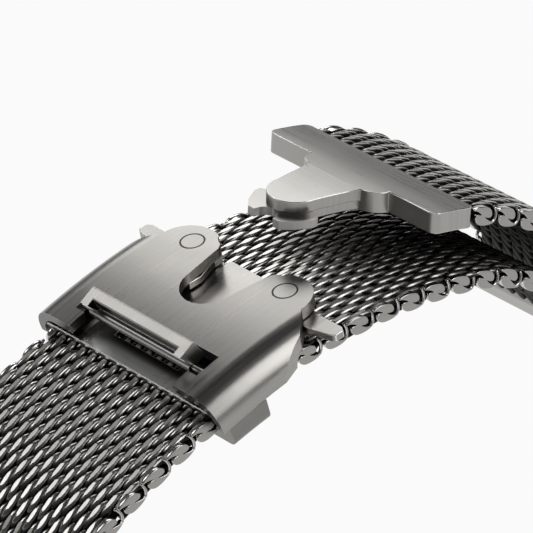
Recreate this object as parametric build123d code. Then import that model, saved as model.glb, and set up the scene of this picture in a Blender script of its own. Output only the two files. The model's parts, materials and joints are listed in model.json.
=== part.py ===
from build123d import *
from math import asin, atan2, cos, degrees, hypot, radians, sin
import os

# Milanese mesh watch band with an adjustable tongue clasp, standing open.
# Millimetres. X runs along the band at the clasp, Y across it, Z up.
# The origin is on the axis of the long strap's spring bar, at mid width.

# Mesh: rows of interlocked links, each row one link across the whole width.
mesh_width = 22.0
mesh_thickness = 1.8
row_pitch = 3.03
row_gap = 0.25
bead_radius = 0.46
bead_clearance = 0.08
bead_sides = 6
row_end_sides = 8
neck_thickness = 0.4
row_swing = 22.0

# Rows of each stretch, counted from the free end to the watch end.
tail_rows = 7
top_rows = 14
side_rows = 14
lower_rows = 11
short_top_rows = 6
short_side_rows = 5

# Bend radii of the mesh's middle surface.
top_radius = 61.5
tail_radius = 24.0
bend_radius = 22.0
lower_radius = 31.0
short_radius = 35.5
tail_joint_reach = 7.03

# Clasp cover.
cover_width = 25.2
cover_radius = 65.0
cover_thickness = 1.0
cover_height = 3.7
cover_seat_reach = 10.24
cover_tilt = 11.0
cover_back = 14.2
lobe_front = 2.3
lobe_reach = 3.2
shoulder_radius = 3.0
skirt_depth = 3.0
skirt_thickness = 0.7
skirt_front = 6.0
flank_reach = 3.0
flank_width = 11.5
rim_thickness = 0.6
overrun = 2.0

# Notch for the tongue, and the tongue that fits it.
tongue_clearance = 0.15
tongue_length = 9.0
tongue_tip_width = 5.3
tongue_root_width = 6.9
tongue_flare = 1.8
tongue_seat = 5.95
tongue_layer = 1.1
arm_width = 22.4
arm_length = 4.9
arm_thickness = 2.0
arm_radius = 40.0
arm_corner = 0.8
tongue_open_x = 10.08
tongue_open_z = 4.53
tongue_open_turn = 14.3

# Catch plate under the tongue.
catch_reach = 1.1
catch_depth = 1.9
catch_half_width = 3.9
catch_neck_inset = 0.15
catch_shoulder = 2.4
catch_notch_radius = 1.25
catch_front_half_width = 2.1
catch_rivet_radius = 0.55
catch_rivet_spacing = 2.6

# Pivot pins, pushers and their leaf springs.
pin_half_spacing = 6.3
pin_head_radius = 1.19
pin_shank_radius = 0.85
pin_foot_radius = 0.6
pivot_clearance = 0.05
pusher_depth = 1.3
pusher_thickness = 0.7
pusher_reach = 13.4
pusher_tip_width = 0.9
pusher_arm_width = 1.5
pusher_root = 3.1
pusher_sweep = 1.0
hook_gap = 0.12
spring_depth = 1.7
spring_height = 0.45
spring_strip = 0.15
spring_post_radius = 0.4
spring_eye_wall = 0.25
spring_post_x = 8.5
spring_post_y = 8.0

# Base: the floor under the cavity and the loop round the mesh.
floor_thickness = 0.45
strap_clearance = 0.12
seat_clearance = 0.12
loop_back = 13.4
loop_front = 8.7
loop_bar = 1.5
loop_wall = 1.3
loop_corner = 0.9
wall_clearance = 0.08

# Locking lever, measured from its pin, and the recess that it stands in.
lever_width = 13.7
lever_top = 1.95
lever_rear = 1.5
lever_front = 0.4
lever_low = 0.17
lever_toe = 0.2
lever_wall = 1.15
lever_leg = 0.96
lever_bar = 0.6
lever_hub_radius = 0.5
lever_foot_width = 8.0
lever_foot_length = 0.8
lever_foot_reach = 1.9
lever_turn = 24.8
lever_pin_radius = 0.25
lever_pin_grip = 0.7
lever_pin_x = 11.4
lever_pin_z = 1.35
pocket_half_width = 8.3
pocket_rear = 9.55
pocket_step = 12.2
pocket_mouth_half_width = 7.1
window_front = 9.3
window_back = 11.3

# Ends at the watch: barrels and spring bars.
lug_width = 22.0
barrel_width = 21.6
barrel_radius = 1.3
bar_radius = 0.75
bar_clearance = 0.05
bar_wall = 0.15
bar_tube_length = 18.2
plunger_radius = 0.52
flange_radius = 0.68
flange_length = 0.5
tip_radius = 0.4
tip_length = 0.9
plunger_length = 4.0
spring_wall = 0.12
bar_sides = 10
tail_cap_length = 2.4


def spot(x, z, y=0):
    """A point of the side view as a place in space."""
    return Vector(x, y, z)


def arc_point(radius, angle):
    """Point of a circle about the clasp arc's centre, by its angle from the top towards +X."""
    return radius * sin(radians(angle)), radius * cos(radians(angle))


def row_turn(radius):
    """Turn from one row to the next on a bend of this radius."""
    return degrees(2 * asin(row_pitch / 2 / radius))


def walk(start, heading, turns):
    """Row joints from a start, each step one pitch long after its turn."""
    joints = [start]
    for turn in turns:
        heading += turn
        x, z = joints[-1]
        joints.append((x + row_pitch * cos(radians(heading)), z + row_pitch * sin(radians(heading))))
    return joints, heading


def placed(shape, point, heading):
    """A shape drawn along +X from the origin, set at a joint and turned to its heading."""
    return shape.moved(Location(spot(*point), (0, -heading, 0)))


def side_sketch(face):
    """A face drawn in the plan plane, stood up so that its Y is the height."""
    return face.rotate(Axis.X, 90)


def extruded(face, width):
    """A side view face as a bar across the band, centred on mid width."""
    return extrude(side_sketch(face), width / 2, dir=(0, 1, 0), both=True)


socket_radius = bead_radius + bead_clearance
half_mesh = mesh_thickness / 2
half_neck = neck_thickness / 2


def socket_face():
    """Channel for a bead, with a mouth flared so that the neck can swing."""
    reach = mesh_thickness + row_gap
    lip = half_neck + reach * sin(radians(row_swing)) / cos(radians(row_swing))
    mouth = make_face(Polyline((0, half_neck), (reach, lip), (reach, -lip), (0, -half_neck), close=True))
    return RegularPolygon(socket_radius, bead_sides, major_radius=False) + mouth


def link_face(length):
    """Body of one row with faceted round ends, from the gap behind its neck to the socket's end."""
    first = row_gap + mesh_thickness
    end = RegularPolygon(half_mesh, row_end_sides, major_radius=False, rotation=180 / row_end_sides)
    middle = Pos((first + length) / 2, 0) * Rectangle(length - first, mesh_thickness)
    return middle + Pos(first, 0) * end + Pos(length, 0) * end


def bead_face(reach):
    """Bead and neck at a row's near joint."""
    return RegularPolygon(bead_radius, bead_sides) + Pos(reach / 2, 0) * Rectangle(reach, neck_thickness)


def bead_bar():
    """Bead and neck as a bar across the mesh."""
    return extruded(bead_face(half_mesh + row_gap + half_neck), mesh_width)


def rows(joints):
    """The rows between the joints, each a separate solid: bead, neck, body and socket."""
    body = link_face(row_pitch) - Pos(row_pitch, 0) * socket_face()
    row = extruded(body, mesh_width) + bead_bar()
    solids = []
    for first, last in zip(joints, joints[1:]):
        heading = degrees(atan2(last[1] - first[1], last[0] - first[0]))
        solids.append(placed(row, first, heading))
    return solids


# The long strap's joints, in side view about the clasp arc's centre.
top_turn = row_turn(top_radius)
tail_turn = row_turn(tail_radius)
bend_turn = row_turn(bend_radius)
tail_joint_angle = degrees(tail_joint_reach / top_radius)
tail_joint = arc_point(top_radius, tail_joint_angle)
tail_walk, tail_heading = walk(tail_joint, -tail_joint_angle + tail_turn / 2, [-tail_turn] * tail_rows)
top_walk, top_heading = walk(tail_joint, 180 - tail_joint_angle - top_turn / 2, [top_turn] * top_rows)
side_walk, side_heading = walk(top_walk[-1], top_heading, [bend_turn] * side_rows)
lower_turn = row_turn(lower_radius)
lower_walk, lower_heading = walk(side_walk[-1], side_heading, [lower_turn] * lower_rows)

# The watch end of the long strap gives the part's origin.
barrel_heading = lower_heading + lower_turn
barrel_a = (
    lower_walk[-1][0] + row_pitch * cos(radians(barrel_heading)),
    lower_walk[-1][1] + row_pitch * sin(radians(barrel_heading)),
)
origin_shift = Pos(-barrel_a[0], 0, -barrel_a[1])

# The clasp's own frame: its origin on the cover's top between the pivot pins.
cover_top_height = top_radius + cover_height
clasp_point = arc_point(cover_top_height, -degrees(cover_seat_reach / cover_top_height))
clasp_place = Location(spot(*clasp_point), (0, -cover_tilt, 0))
mesh_centre_x = -clasp_point[0] * cos(radians(cover_tilt)) - clasp_point[1] * sin(radians(cover_tilt))
mesh_centre_z = clasp_point[0] * sin(radians(cover_tilt)) - clasp_point[1] * cos(radians(cover_tilt))
mesh_axis = Axis((mesh_centre_x, 0, mesh_centre_z), (0, 1, 0))
cover_axis = Axis((0, 0, -cover_radius), (0, 1, 0))
floor_low = top_radius + half_mesh + strap_clearance
floor_high = floor_low + floor_thickness


def swept(face, axis, first, last):
    """A cross-section in the YZ plane swept about an axis across the band, from one angle to another."""
    start = face.rotate(axis, first)
    return revolve(start, axis=axis, revolution_arc=last - first)


def cross_face(*points):
    """A closed cross-section in the YZ plane from its corner points."""
    return make_face(Polyline(*[(0, y, z) for y, z in points], close=True))


def cover_angle(reach):
    """Angle on the cover's top arc for a distance along it from the pins."""
    return degrees(reach / cover_radius)


def mesh_angle(reach):
    """Angle about the mesh arc's centre for a distance along the clasp from the pins."""
    return degrees(atan2(reach - mesh_centre_x, -mesh_centre_z))


def prism(face, depth):
    """A plan outline cut through the clasp's whole height."""
    return Pos(0, 0, -depth) * extrude(face, depth + overrun)


def depth_face(half_width, top_depth, low_depth):
    """Cross-section of a plate between two depths."""
    return cross_face(
        (-half_width, -top_depth),
        (half_width, -top_depth),
        (half_width, -low_depth),
        (-half_width, -low_depth),
    )


def shell_band(top_depth, low_depth, half_width, back, front):
    """A curved plate between two depths under the cover's top arc."""
    face = depth_face(half_width, top_depth, low_depth)
    return swept(face, cover_axis, cover_angle(-back), cover_angle(front))


def tongue_side(half_offset):
    """Tongue outline from its tip to its root, as seen from above, with the tip at x = 0."""
    tip = tongue_tip_width / 2 + half_offset
    root = tongue_root_width / 2 + half_offset
    flare = tongue_flare - half_offset
    start = tongue_tip_width / 2
    neck_end = tongue_length - half_offset - flare
    side = Line((start, tip), (neck_end, root))
    curl = RadiusArc(side @ 1, (tongue_length - half_offset, root + flare), flare)
    nose = ThreePointArc((start, -tip), (-half_offset, 0), (start, tip))
    return nose, side, curl


def tongue_face(half_offset, root_reach):
    """Tongue outline grown by an offset and carried past its root by a reach."""
    nose, side, curl = tongue_side(half_offset)
    wide = abs((curl @ 1).Y)
    back = tongue_length + root_reach
    edge = Polyline(curl @ 1, (back, wide), (back, -wide), ((curl @ 1).X, -wide))
    outline = nose + side + curl + edge + mirror(curl, Plane.XZ) + mirror(side, Plane.XZ)
    return make_face(outline)


def notch_face():
    """Notch in the cover: the tongue's outline with its clearance, open towards the tongue."""
    return Pos(-tongue_seat, 0) * tongue_face(tongue_clearance, overrun)


def lobe_face():
    """Cover outline in plan: straight back end, slanted flanks and two round lobes."""
    half = cover_width / 2
    front = lobe_front - lobe_reach
    flank = Polyline(
        (-cover_back, -half),
        (-skirt_front, -half),
        (-flank_reach, -flank_width),
        (front, -pin_half_spacing - lobe_reach),
        (front, 0),
        (-cover_back, 0),
        close=True,
    )
    lobe = Pos(front, -pin_half_spacing) * Circle(lobe_reach)
    half_plan = make_face(flank) + lobe
    bridge = Pos(-cover_back / 2, 0) * Rectangle(cover_back, 2 * pin_half_spacing)
    return half_plan + mirror(half_plan, Plane.XZ) + bridge


def pocket_face():
    """Recess in the cover's back end for the locking lever, with its narrower mouth."""
    pocket_length = pocket_step - pocket_rear
    pocket = Pos(-pocket_rear - pocket_length / 2, 0) * Rectangle(pocket_length, 2 * pocket_half_width)
    mouth_length = cover_back + overrun - pocket_rear
    mouth = Pos(-pocket_rear - mouth_length / 2, 0) * Rectangle(mouth_length, 2 * pocket_mouth_half_width)
    return pocket + mouth


def corner_arc(y, z, radius):
    """Quarter circle of a rolled shoulder in the section, from its top to its outer side."""
    high = radius * sin(radians(45))
    return ThreePointArc((0, y, z + radius), (0, y + high, z + high), (0, y + radius, z))


def make_cover():
    """Curved cover: top plate with rolled shoulders and skirts, notch, lever recess and lobe rims."""
    half = cover_width / 2
    flat = half - shoulder_radius
    inner = half - skirt_thickness
    inner_radius = shoulder_radius - skirt_thickness
    low = -cover_thickness - inner_radius
    outer_arc = corner_arc(flat, -shoulder_radius, shoulder_radius)
    inner_arc = corner_arc(flat, low, inner_radius)
    side = outer_arc + Polyline(outer_arc @ 1, (0, half, low), (0, inner, low)) + inner_arc
    side += Polyline(inner_arc @ 0, (0, 0, -cover_thickness), (0, 0, 0), outer_arc @ 0)
    section = make_face(side)
    shell = swept(section, cover_axis, cover_angle(-cover_back), cover_angle(lobe_front + overrun / 2))
    shell += mirror(shell, Plane.XZ)
    shell = shell & prism(lobe_face(), 3 * cover_height)
    rim = lobe_rim()
    shell += rim
    shell -= pusher_way(pin_half_spacing + pusher_root)
    shell -= pusher_way(pin_half_spacing) & rim
    shell -= prism(notch_face(), 3 * cover_height)
    shell -= prism(pocket_face(), 3 * cover_height)
    for side in (-1, 1):
        shell -= Pos(0, side * pin_half_spacing, 0) * Cylinder(pin_head_radius, 4 * cover_thickness)
    return shell - make_lever_pin()


def lobe_rim():
    """Wall that hangs from the lobes' edge, open where the tongue and its catch plate come in."""
    low = cavity_depth() - seat_clearance
    edge = lobe_face() - offset(lobe_face(), -rim_thickness)
    band = shell_band(cover_thickness, low, cover_width / 2, flank_reach, lobe_front + overrun)
    front = Box(2 * flank_reach + overrun, 3 * cover_width, 3 * cover_height)
    mouth = Box(2 * cover_back, 2 * (catch_half_width + tongue_clearance), 2 * cover_height)
    return (band & prism(edge, 2 * cover_height) & front) - mouth


def pusher_way(first):
    """Room for the pushers' swing out through the flanks, from a distance off mid width."""
    front = lobe_front - rim_thickness
    back = hub_radius() + seat_clearance
    low = cover_height
    height = -pusher_depth + seat_clearance - low / 2
    way = Pos((front - back) / 2, 0, height) * Box(front + back, 2 * cover_width, low)
    return way - Box(2 * cover_width, 2 * first, 4 * cover_height)


def cavity_depth():
    """Depth of the floor's top under the cover's top at the pins."""
    return cover_top_height - floor_high


def hub_radius():
    """Pusher hub, inside the rim of its lobe."""
    return lobe_front - rim_thickness - seat_clearance


def cover_inside():
    """Space under the cover, between its skirts, with the base's clearance taken off."""
    inner = cover_width / 2 - skirt_thickness - wall_clearance
    radius = shoulder_radius - skirt_thickness - wall_clearance
    top = -cover_thickness - wall_clearance
    low = -3 * cover_height
    arc = corner_arc(inner - radius, top - radius, radius)
    section = make_face(arc + Polyline(arc @ 1, (0, inner, low), (0, 0, low), (0, 0, top), arc @ 0))
    half = swept(section, cover_axis, cover_angle(-cover_back), cover_angle(lobe_front + overrun))
    return half + mirror(half, Plane.XZ)


def ring_top():
    """Height of the loop's shoulders in its section, under the skirts' lowest point."""
    skirt_radius = cover_radius - cover_thickness - (shoulder_radius - skirt_thickness)
    angle = cover_angle(-loop_back)
    x = skirt_radius * sin(radians(angle)) - mesh_centre_x
    z = skirt_radius * cos(radians(angle)) - cover_radius - mesh_centre_z
    return mesh_centre_z + hypot(x, z) - wall_clearance


def make_base():
    """Floor plate over the mesh with the loop that the mesh slides through."""
    inner = mesh_width / 2 + strap_clearance
    wall = cover_width / 2 - skirt_thickness - wall_clearance
    high = mesh_centre_z + floor_high
    under = mesh_centre_z + floor_low
    plate = Pos(mesh_centre_x, 0, 0) * depth_face(wall, -high, -under)
    front = lobe_front - rim_thickness - strap_clearance
    floor = swept(plate, mesh_axis, mesh_angle(-cover_back), mesh_angle(lobe_front))
    inside = lobe_face() & Pos(front - cover_width, 0) * Rectangle(2 * cover_width, 2 * cover_width)
    lip_width = 2 * (catch_half_width + tongue_clearance - wall_clearance)
    lip = Pos(lobe_front / 2, 0) * Rectangle(lobe_front, lip_width)
    floor = floor & prism(inside + lip, 4 * cover_height)
    outer = inner + loop_wall
    low = mesh_centre_z + top_radius - half_mesh - strap_clearance
    below = low - loop_bar
    ring = Pos(0, (high + below) / 2) * RectangleRounded(2 * outer, high - below, loop_corner)
    ring -= Pos(0, (high + low) / 2) * Rectangle(2 * inner, high - low)
    ring -= Pos(0, high) * Rectangle(3 * outer, 2 * (high - ring_top()))
    neck = Pos(0, (high + ring_top()) / 2) * Rectangle(2 * wall, high - ring_top())
    neck -= Pos(0, (under + ring_top()) / 2) * Rectangle(2 * inner, under - ring_top())
    stand = Rotation(0, 0, 90) * Rotation(90, 0, 0)
    first = mesh_angle(-loop_back)
    last = mesh_angle(-loop_front)
    loop = swept((stand * ring).moved(Pos(mesh_centre_x, 0, 0)), mesh_axis, first, last)
    yoke = swept((stand * neck).moved(Pos(mesh_centre_x, 0, 0)), mesh_axis, first, last)
    base = ((floor + yoke) & cover_inside()) + loop
    window = Box(window_back - window_front, lever_foot_width + rim_thickness, loop_bar)
    base -= Pos(-(window_back + window_front) / 2, 0, under) * window
    pin_hole = Cylinder(pin_foot_radius, 4 * floor_thickness)
    post = Cylinder(spring_post_radius, 2 * cover_height)
    strap_room = Pos(mesh_centre_x, 0, mesh_centre_z) * across(floor_low, 2 * cover_width, 0)
    for side in (-1, 1):
        base -= Pos(0, side * pin_half_spacing, -cavity_depth()) * pin_hole
        post_low = -spring_depth - cover_height
        base += Pos(-spring_post_x, side * spring_post_y, post_low) * post - strap_room
    return base


def make_pin(side):
    """Stepped rivet: head flush in the cover, shank through the pusher, foot in the floor."""
    head = Pos(0, 0, -cover_thickness / 2) * Cylinder(pin_head_radius, cover_thickness)
    shank_length = cavity_depth() - cover_thickness - seat_clearance / 2
    shank = Pos(0, 0, -cover_thickness - shank_length / 2) * Cylinder(pin_shank_radius, shank_length)
    foot_length = floor_thickness + seat_clearance
    foot = Pos(0, 0, -cavity_depth() - floor_thickness / 2) * Cylinder(pin_foot_radius, foot_length)
    return Pos(0, side * pin_half_spacing, 0) * (head + shank + foot)


def shoulder_point():
    """Where the catch plate's shoulder meets its neck, in the clasp's frame, closed."""
    return -tongue_seat + catch_shoulder, tongue_tip_width / 2 + catch_neck_inset


def make_pusher(side):
    """Side pusher: hub on the pin, tab out through the flank, arm with a hook at the catch plate."""
    hub = Circle(hub_radius())
    tab_y = pusher_reach - pin_half_spacing
    tab = Polyline(
        (pusher_tip_width * 2 / 3, 0),
        (pusher_tip_width * 2 / 3, tab_y - pusher_tip_width / 2),
        (pusher_tip_width / 3, tab_y),
        (-pusher_tip_width * 2 / 3, tab_y),
        (-pusher_tip_width, tab_y - pusher_tip_width / 2),
        (-hub_radius(), pusher_root),
        (-hub_radius(), 0),
        close=True,
    )
    catch_x, catch_y = shoulder_point()
    hook_y = catch_y + hook_gap - pin_half_spacing
    outer_y = catch_half_width - pin_half_spacing
    slant = (catch_half_width - catch_y) * hook_slant()
    arm = Polyline(
        (0, 0),
        (-hub_radius(), outer_y + pusher_arm_width),
        (catch_x - pusher_arm_width, outer_y + pusher_arm_width),
        (catch_x - slant - pusher_arm_width, outer_y + hook_gap),
        (catch_x + hook_gap - slant, outer_y + hook_gap),
        (catch_x + hook_gap, hook_y + hook_gap),
        (catch_x + pusher_arm_width, hook_y + hook_gap),
        (hub_radius() / 6, outer_y),
        close=True,
    )
    plan = hub + make_face(tab) + make_face(arm)
    plan -= Circle(pin_shank_radius + pivot_clearance)
    if side < 0:
        plan = mirror(plan, Plane.XZ)
    solid = extrude(plan, pusher_thickness / 2, both=True)
    return Pos(0, side * pin_half_spacing, -pusher_depth - pusher_thickness / 2) * solid


def hook_slant():
    """Slope of the hook's face, about square to the line from the pin, so that it holds."""
    catch_x, catch_y = shoulder_point()
    return (pin_half_spacing - catch_y) / -catch_x / 2


def make_spring(side):
    """Leaf spring: an eye on its post and a strip that lies along the pusher's arm."""
    catch_x, catch_y = shoulder_point()
    tip_x = catch_x - pusher_arm_width * 2 / 3
    tip_y = catch_half_width + pusher_arm_width + hook_gap + spring_strip
    run = hypot(tip_x + spring_post_x, tip_y - spring_post_y)
    slope = degrees(atan2(tip_y - spring_post_y, tip_x + spring_post_x))
    strip = Rot(0, 0, slope) * Pos(run / 2, 0) * Rectangle(run, spring_strip)
    bore = spring_post_radius + pivot_clearance
    plan = strip + Circle(bore + spring_eye_wall) - Circle(bore)
    if side < 0:
        plan = mirror(plan, Plane.XZ)
    solid = extrude(plan, spring_height / 2, both=True)
    return Pos(-spring_post_x, side * spring_post_y, -spring_depth - spring_height / 2) * solid


def lever_place():
    """The lever's frame: on its pin, tilted as it stands open."""
    return Location((-lever_pin_x, 0, -lever_pin_z), (0, -lever_turn, 0))


def make_lever():
    """Locking lever: rear wall and two legs round a hollow, a hub on the pin, a foot towards the mesh."""
    block = make_face(
        Polyline(
            (-lever_front, lever_top),
            (lever_rear, lever_top),
            (lever_rear, -lever_low),
            (lever_toe, -lever_low),
            close=True,
        )
    )
    solid = extruded(block, lever_width)
    hollow_high = lever_top - lever_bar + lever_low
    hollow_width = lever_width - 2 * lever_leg
    hollow = Pos(lever_rear - lever_wall - lever_rear, 0, lever_top) * Box(
        2 * lever_rear, hollow_width, 2 * hollow_high
    )
    solid -= hollow
    solid = fillet(solid.edges().filter_by(Axis.Y).sort_by(Axis.Z)[-2:], lever_low)
    solid += extruded(Circle(lever_hub_radius), lever_width)
    foot = Pos(lever_toe + lever_foot_length / 2, -lever_foot_reach / 2) * Rectangle(
        lever_foot_length, lever_foot_reach
    )
    solid += extruded(foot, lever_foot_width)
    solid -= across(lever_pin_radius + pivot_clearance, 2 * lever_width, 0)
    return lever_place() * solid


def make_lever_pin():
    """Pin through the lever, held in the cover at both ends."""
    length = 2 * (pocket_half_width + lever_pin_grip)
    return Pos(-lever_pin_x, 0, -lever_pin_z) * across(lever_pin_radius, length, 0)


def tongue_profile(top_depth, low_depth, first, last):
    """Side view band of the tongue piece between two depths, curved as the cover and then as the arms."""
    face = depth_face(arm_width, top_depth, low_depth)
    root = tongue_length - tongue_seat
    result = swept(face, cover_axis, cover_angle(first), cover_angle(min(last, root)))
    if last > root:
        arm_axis = Axis((0, 0, -arm_radius), (0, 1, 0))
        result += root_turned(swept(face, arm_axis, 0, degrees((last - root) / arm_radius)))
    return result


def root_turned(solid):
    """Carries what is drawn at the pins to the tongue's root along the cover's arc."""
    return solid.rotate(cover_axis, cover_angle(tongue_length - tongue_seat))


def arm_face():
    """Cross arms in plan, with rounded corners."""
    root = tongue_length - tongue_seat
    return Pos(root + arm_length / 2, 0) * RectangleRounded(arm_length, arm_width, arm_corner)


def make_tongue():
    """Tongue plate: thin tongue in front of full-thickness cross arms with the mesh socket behind."""
    root = tongue_length - tongue_seat
    plan = Pos(-tongue_seat, 0) * tongue_face(0, arm_length / 2) + arm_face()
    layer = tongue_profile(0, tongue_layer, -tongue_seat - overrun, root + arm_length)
    plate = layer & prism(plan, 4 * cover_height)
    block = tongue_profile(0, arm_thickness, root - tongue_flare, root + arm_length)
    arms = Pos(-tongue_seat, 0) * (tongue_face(0, arm_length / 2) & tongue_root_face()) + arm_face()
    plate += block & prism(arms, 4 * cover_height)
    socket = extruded(socket_face(), mesh_width + 2 * bead_clearance)
    plate -= short_start() * socket
    for rivet in make_catch_rivets():
        plate -= rivet
    return plate


def tongue_root_face():
    """Stretch of the tongue behind the catch plate's end."""
    length = 2 * tongue_flare
    return Pos(tongue_length - tongue_flare + length / 2, 0) * Rectangle(length, arm_width)


def short_start():
    """First joint of the short strap, in the closed tongue's frame."""
    root = tongue_length - tongue_seat
    back = Location((0, 0, -arm_radius)) * Location((0, 0, 0), (0, degrees(arm_length / arm_radius), 0))
    back = back * Pos(-half_mesh, 0, arm_radius - arm_thickness / 2)
    carry = Location((0, 0, -cover_radius)) * Location((0, 0, 0), (0, cover_angle(root), 0))
    return carry * Pos(0, 0, cover_radius) * back


def make_catch():
    """Catch plate: neck under the tongue, two prongs with slanted shoulders, round notch between them."""
    catch_y = tongue_tip_width / 2 + catch_neck_inset
    slant = (catch_half_width - catch_y) * hook_slant()
    head = Polyline(
        (-catch_reach, 0),
        (-catch_reach, catch_front_half_width),
        (-catch_reach / 4, (catch_front_half_width + catch_half_width) / 2),
        (catch_shoulder / 2, catch_half_width),
        (catch_shoulder - slant, catch_half_width),
        (catch_shoulder, catch_y),
        (catch_shoulder, 0),
        close=True,
    )
    head = make_face(head)
    head = head + mirror(head, Plane.XZ)
    neck = tongue_face(-catch_neck_inset, 0) - tongue_root_face()
    plan = head + neck - Pos(-catch_reach, 0) * Circle(catch_notch_radius)
    plan = Pos(-tongue_seat, 0) * plan
    root = tongue_length - tongue_seat
    layer = tongue_profile(tongue_layer, catch_depth, -tongue_seat - overrun, root)
    catch = layer & prism(plan, 4 * cover_height)
    for rivet in make_catch_rivets():
        catch -= rivet
    return catch


def make_catch_rivets():
    """Two rivets through the catch plate into the tongue, square to its curve."""
    height = catch_depth - tongue_layer / 2
    rivet = Pos(0, 0, cover_radius - catch_depth + height / 2) * Cylinder(catch_rivet_radius, height)
    first = -tongue_seat + catch_shoulder
    turns = [cover_angle(first), cover_angle(first + catch_rivet_spacing)]
    return [Pos(0, 0, -cover_radius) * Rotation(0, turn, 0) * rivet for turn in turns]


def open_place():
    """Carries the tongue from its seat in the clasp to where it stands open."""
    root = Pos(0, 0, -cover_radius) * Rotation(0, cover_angle(tongue_length - tongue_seat), 0)
    root = (clasp_place * root * Pos(0, 0, cover_radius)).position
    away = Pos(root.X + tongue_open_x, 0, root.Z + tongue_open_z)
    return away * Rotation(0, tongue_open_turn, 0) * Pos(-root.X, 0, -root.Z)


def barrel_solid():
    """End piece: bead and neck for the last row, and the barrel bored for the spring bar."""
    start = half_mesh + row_gap
    arm = Pos((start + row_pitch) / 2, 0) * Rectangle(row_pitch - start, mesh_thickness - neck_thickness)
    barrel = Pos(row_pitch, 0) * Circle(barrel_radius)
    bore = Pos(row_pitch, 0) * Circle(bar_radius + bar_clearance)
    solid = extruded(arm + barrel + bead_face(start + half_neck), barrel_width)
    return solid - extruded(bore, 2 * barrel_width)


def tail_cap_solid():
    """Cap at the strap's free end, over the first row's bead."""
    face = Pos(-tail_cap_length / 2, 0) * SlotCenterToCenter(tail_cap_length, mesh_thickness)
    face -= socket_face()
    return extruded(face, mesh_width)


def across(radius, length, y):
    """A round bar along Y, centred at this place across the band."""
    return Pos(0, y, 0) * Cylinder(radius, length, rotation=(90, 0, 0))


def faceted(radius, length, y):
    """A bar along Y with flat sides, centred at this place across the band."""
    return Pos(0, y, 0) * extruded(RegularPolygon(radius, bar_sides), length)


def spring_bar(point):
    """Spring bar of one watch end: tube, inner spring and the two plungers."""
    place = Pos(point[0], 0, point[1])
    tube = across(bar_radius, bar_tube_length, 0) - across(bar_radius - bar_wall, 2 * bar_tube_length, 0)
    plungers = []
    half = lug_width / 2
    inner_end = half - flange_length - plunger_length
    for side in (-1, 1):
        shaft = faceted(plunger_radius, plunger_length, side * (inner_end + plunger_length / 2))
        flange = across(flange_radius, flange_length, side * (half - flange_length / 2))
        tip = across(tip_radius, tip_length, side * (half + tip_length / 2))
        plungers.append(place * (shaft + flange + tip))
    coil_end = inner_end - tip_length - seat_clearance / 2
    coil = faceted(plunger_radius, 2 * coil_end, 0) - faceted(plunger_radius - spring_wall, 4 * coil_end, 0)
    right, left = plungers
    return {"tube": place * tube, "right_plunger": right, "left_plunger": left, "spring": place * coil}


def group(solids):
    """Several solids of one kind as one node."""
    return Compound(children=[solid.solid() for solid in solids])


# The short strap starts behind the open tongue.
short_place = open_place() * clasp_place * short_start()
short_joint = (short_place.position.X, short_place.position.Z)
short_dir = short_place.x_axis.direction
short_heading = degrees(atan2(short_dir.Z, short_dir.X))
short_turn = row_turn(short_radius)
short_top_walk, heading = walk(short_joint, short_heading + short_turn / 2, [-short_turn] * short_top_rows)
short_side_walk, heading = walk(short_top_walk[-1], heading, [-short_turn] * short_side_rows)
barrel_b_heading = heading - short_turn
barrel_b = (
    short_side_walk[-1][0] + row_pitch * cos(radians(barrel_b_heading)),
    short_side_walk[-1][1] + row_pitch * sin(radians(barrel_b_heading)),
)

# Every node in the frame about the clasp arc's centre.
nodes = {}
tail_row_joints = list(reversed(tail_walk))
nodes["long_rows_tail"] = group(rows(tail_row_joints))
nodes["long_rows_top"] = group(rows(top_walk))
nodes["long_rows_side"] = group(rows(side_walk))
nodes["long_rows_lower"] = group(rows(lower_walk))
nodes["long_end_barrel"] = placed(barrel_solid(), lower_walk[-1], barrel_heading)
cap_heading = degrees(
    atan2(tail_walk[-2][1] - tail_walk[-1][1], tail_walk[-2][0] - tail_walk[-1][0])
)
nodes["long_tail_cap"] = placed(tail_cap_solid(), tail_walk[-1], cap_heading)
nodes["short_rows_top"] = group(rows(short_top_walk))
nodes["short_rows_side"] = group(rows(short_side_walk))
nodes["short_end_barrel"] = placed(barrel_solid(), short_side_walk[-1], barrel_b_heading)

open_clasp = open_place() * clasp_place
nodes["tongue_plate"] = make_tongue().moved(open_clasp)
nodes["catch_plate"] = make_catch().moved(open_clasp)
nodes["catch_rivets"] = group([rivet.moved(open_clasp) for rivet in make_catch_rivets()])

nodes["clasp_cover"] = make_cover().moved(clasp_place)
nodes["clasp_base"] = make_base().moved(clasp_place)
nodes["lock_lever"] = make_lever().moved(clasp_place)
nodes["lever_pin"] = make_lever_pin().moved(clasp_place)
for name, side in (("right", -1), ("left", 1)):
    nodes[name + "_pusher"] = make_pusher(side).moved(clasp_place)
    nodes[name + "_pivot_pin"] = make_pin(side).moved(clasp_place)
    nodes[name + "_pusher_spring"] = make_spring(side).moved(clasp_place)

for name, point in (("long_bar", barrel_a), ("short_bar", barrel_b)):
    for piece, solid in spring_bar(point).items():
        nodes[name + "_" + piece] = solid

os.makedirs("parts", exist_ok=True)
for name, shape in nodes.items():
    export_step(shape.moved(origin_shift), "parts/" + name + ".step")


def told(label, point):
    """Prints a place of the side view in the part's own frame."""
    print(label, round(point[0] - barrel_a[0], 3), round(point[1] - barrel_a[1], 3))


told("clasp origin", clasp_point)
told("clasp arc centre", (0, 0))
told("long strap: tail joint", tail_joint)
told("long strap: top to side joint", top_walk[-1])
told("long strap: side to lower joint", side_walk[-1])
told("short strap: first joint", short_joint)
told("short strap: top to side joint", short_top_walk[-1])
told("short strap: spring bar", barrel_b)
pin_point = (clasp_place * lever_place()).position
told("lever pin", (pin_point.X, pin_point.Z))
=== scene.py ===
import json
from math import asin, atan2, cos, pi, radians, sin

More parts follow.
